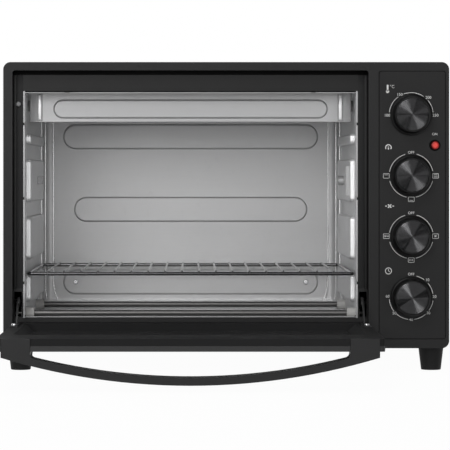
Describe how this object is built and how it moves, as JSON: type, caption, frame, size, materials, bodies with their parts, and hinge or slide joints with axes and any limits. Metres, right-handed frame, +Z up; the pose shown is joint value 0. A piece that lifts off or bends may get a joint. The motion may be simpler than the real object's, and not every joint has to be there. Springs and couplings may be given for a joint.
{
  "type": "toaster oven",
  "caption": "Compact black toaster oven with a fold-down glass door, bow handle, wire rack, tube heaters and a column of dials on the right.",
  "frame": {"origin": "middle of the whole footprint, open door included, on the table", "axes": "+Z up, +X to the viewer's right, the front and its open door face -Y"},
  "size_m": [0.48, 0.627, 0.333],
  "materials": {
    "frame_black": "satin black",
    "panel_black": "satin black with white dial marks",
    "case_black": "satin black",
    "plate_black": "satin dark grey",
    "door_black": "satin black",
    "handle_black": "satin black",
    "knob_black": "satin black",
    "knob_metal": "dark, turned in fine circles",
    "liner_metal": "zinc-coated sheet, dull",
    "rack_chrome": "bright wire",
    "heater_metal": "heat-darkened tube",
    "glass": "clear, slightly dark",
    "plain_steel": "plated",
    "inner_steel": "plated sheet",
    "ceramic_white": "unglazed",
    "lamp_red": "clear red",
    "foot_black": "matt",
    "bumper_grey": "matt",
    "motor_grey": "dull",
    "device_white": "dull",
    "wire_insulation": "heat-proof sleeve"
  },
  "bodies": {
    "housing": {"back_panel": "case_black", "back_wall_screws": "plain_steel", "base_plate": "case_black", "case_screws": "plain_steel", "control_bracket": "inner_steel", "control_panel": "panel_black", "cord_gland": "knob_black", "door_bumper": "bumper_grey", "door_springs": "plain_steel", "fan_motor": "motor_grey", "feet": "foot_black", "foot_screws": "plain_steel", "front_frame": "frame_black", "front_plate": "plate_black", "function_switch": "device_white", "heater_bushes": "ceramic_white", "hinge_bushes": "plain_steel", "lamp_holder": "knob_black", "lamp_lens": "lamp_red", "liner_back_wall": "liner_metal", "liner_ceiling": "liner_metal", "liner_floor": "liner_metal", "liner_left_wall": "liner_metal", "liner_right_wall": "liner_metal", "lower_front_heater": "heater_metal", "lower_rear_heater": "heater_metal", "mode_switch": "device_white", "outer_cover": "case_black", "spit_motor": "motor_grey", "spit_rest": "inner_steel", "terminal_block": "device_white", "thermostat": "device_white", "timer": "inner_steel", "upper_baffle": "liner_metal", "upper_front_heater": "heater_metal", "upper_rear_heater": "heater_metal", "wires": "wire_insulation"},
    "door": {"door_outer_frame": "door_black", "door_glass": "glass", "door_inner_frame": "door_black", "door_handle": "handle_black", "door_screws": "plain_steel", "hinge_pins": "plain_steel", "hinge_arm_left": "plain_steel", "hinge_arm_right": "plain_steel"},
    "rack": {"wire_rack": "rack_chrome"},
    "temperature_dial": {"temperature_knob": "knob_black", "temperature_knob_face": "knob_metal", "temperature_shaft": "plain_steel"},
    "mode_dial": {"mode_knob": "knob_black", "mode_knob_face": "knob_metal", "mode_shaft": "plain_steel"},
    "function_dial": {"function_knob": "knob_black", "function_knob_face": "knob_metal", "function_shaft": "plain_steel"},
    "timer_dial": {"timer_knob": "knob_black", "timer_knob_face": "knob_metal", "timer_shaft": "plain_steel"},
    "fan": {"fan_wheel": "inner_steel"},
    "spit": {"spit_socket": "plain_steel"}
  },
  "joints": [
    {"name": "door_hinge", "type": "hinge", "parent": "housing", "child": "door", "pos_m": [-0.03845, -0.03545, 0.0448], "axis": [-1, 0, 0], "range_deg": [0, 90], "deforming": ["door_springs"]},
    {"name": "rack_slide", "type": "slide", "parent": "housing", "child": "rack", "axis": [0, 1, 0], "range_m": [-0.2, 0]},
    {"name": "temperature_turn", "type": "hinge", "parent": "housing", "child": "temperature_dial", "pos_m": [0.1991, -0.03945, 0.2764], "axis": [0, 1, 0], "range_deg": [0, 180]},
    {"name": "mode_turn", "type": "hinge", "parent": "housing", "child": "mode_dial", "pos_m": [0.1991, -0.03945, 0.2108], "axis": [0, 1, 0], "range_deg": [0, 270]},
    {"name": "function_turn", "type": "hinge", "parent": "housing", "child": "function_dial", "pos_m": [0.1991, -0.03945, 0.1452], "axis": [0, 1, 0], "range_deg": [0, 270]},
    {"name": "timer_turn", "type": "hinge", "parent": "housing", "child": "timer_dial", "pos_m": [0.1991, -0.03945, 0.0796], "axis": [0, 1, 0], "range_deg": [0, 270]},
    {"name": "fan_spin", "type": "hinge", "parent": "housing", "child": "fan", "pos_m": [0.15, 0.05555, 0.2053], "axis": [1, 0, 0], "continuous": true},
    {"name": "spit_spin", "type": "hinge", "parent": "housing", "child": "spit", "pos_m": [0.14, 0.13855, 0.2053], "axis": [1, 0, 0], "continuous": true}
  ]
}
